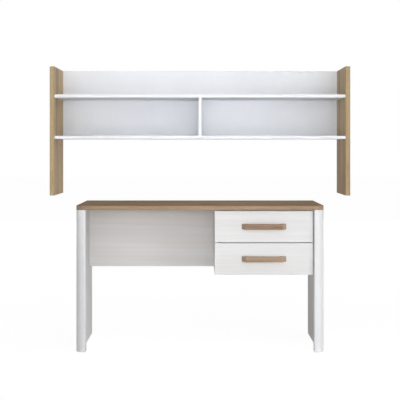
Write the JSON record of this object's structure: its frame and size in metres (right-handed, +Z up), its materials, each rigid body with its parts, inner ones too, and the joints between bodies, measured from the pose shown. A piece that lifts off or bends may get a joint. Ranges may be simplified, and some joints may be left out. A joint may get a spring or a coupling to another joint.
{
  "type": "student desk with hutch",
  "caption": "Writing desk with a drawer pedestal on sliding runners and a wider wall-hung open shelf unit above it.",
  "frame": {"origin": "on the floor, under the middle of the whole outline", "axes": "+X to the right as seen from the front, +Y towards the wall, +Z up"},
  "size_m": [1.57, 0.53, 1.458],
  "materials": {
    "oak_board": "oak-look laminate, satin",
    "oak_handle": "oak, satin",
    "white_grain_board": "white wood-grain laminate, satin",
    "white_board": "plain white laminate, satin",
    "white_sheet": "white-faced fibreboard",
    "spacer_board": "bare board",
    "drawer_box_board": "plain white laminate",
    "dowel_beech": "bare beech",
    "runner_steel": "zinc-plated",
    "screw_steel": "zinc-plated",
    "cam_zinc": "die-cast",
    "glide_plastic": "white polyethylene"
  },
  "bodies": {
    "desk_and_hutch": {"desk_top": "oak_board", "left_front_post": "white_grain_board", "right_front_post": "white_grain_board", "left_side_panel": "white_grain_board", "right_side_panel": "white_grain_board", "modesty_panel": "white_grain_board", "pedestal_left_side": "white_grain_board", "pedestal_right_side": "white_grain_board", "pedestal_bottom": "white_board", "pedestal_back": "white_sheet", "lower_case_spacer": "spacer_board", "upper_case_spacer": "spacer_board", "hutch_left_side": "oak_board", "hutch_right_side": "oak_board", "hutch_upper_shelf": "white_board", "hutch_lower_shelf": "white_board", "hutch_divider": "white_board", "hutch_back_panel": "white_board", "desk_dowels": "dowel_beech", "desk_cam_bolts": "screw_steel", "desk_cam_discs": "cam_zinc", "spacer_screws": "screw_steel", "back_panel_screws": "screw_steel", "hutch_dowels": "dowel_beech", "hutch_cam_bolts": "screw_steel", "hutch_cam_discs": "cam_zinc", "hanger_screws": "screw_steel", "case_rail_screws": "screw_steel", "floor_glides": "glide_plastic", "hutch_left_hanger": "runner_steel", "hutch_right_hanger": "runner_steel", "upper_left_case_rail": "runner_steel", "upper_right_case_rail": "runner_steel", "lower_left_case_rail": "runner_steel", "lower_right_case_rail": "runner_steel"},
    "upper_drawer": {"upper_drawer_front": "white_grain_board", "upper_drawer_left_side": "drawer_box_board", "upper_drawer_right_side": "drawer_box_board", "upper_drawer_back": "drawer_box_board", "upper_drawer_bottom": "white_sheet", "upper_drawer_handle": "oak_handle", "upper_left_drawer_rail": "runner_steel", "upper_right_drawer_rail": "runner_steel", "upper_drawer_dowels": "dowel_beech", "upper_handle_screws": "screw_steel", "upper_rail_screws": "screw_steel"},
    "upper_cages": {"upper_ball_cages": "runner_steel"},
    "lower_drawer": {"lower_drawer_front": "white_grain_board", "lower_drawer_left_side": "drawer_box_board", "lower_drawer_right_side": "drawer_box_board", "lower_drawer_back": "drawer_box_board", "lower_drawer_bottom": "white_sheet", "lower_drawer_handle": "oak_handle", "lower_left_drawer_rail": "runner_steel", "lower_right_drawer_rail": "runner_steel", "lower_drawer_dowels": "dowel_beech", "lower_handle_screws": "screw_steel", "lower_rail_screws": "screw_steel"},
    "lower_cages": {"lower_ball_cages": "runner_steel"}
  },
  "joints": [
    {"name": "upper_drawer_slide", "type": "slide", "parent": "desk_and_hutch", "child": "upper_drawer", "axis": [0, -1, 0], "range_m": [0, 0.3]},
    {"name": "upper_cage_roll", "type": "slide", "parent": "desk_and_hutch", "child": "upper_cages", "axis": [0, -1, 0], "range_m": [0, 0.15]},
    {"name": "lower_drawer_slide", "type": "slide", "parent": "desk_and_hutch", "child": "lower_drawer", "axis": [0, -1, 0], "range_m": [0, 0.3]},
    {"name": "lower_cage_roll", "type": "slide", "parent": "desk_and_hutch", "child": "lower_cages", "axis": [0, -1, 0], "range_m": [0, 0.15]}
  ],
  "couplings": [
    {"joint": "upper_cage_roll", "follows": "upper_drawer_slide", "ratio": 0.5},
    {"joint": "lower_cage_roll", "follows": "lower_drawer_slide", "ratio": 0.5}
  ]
}
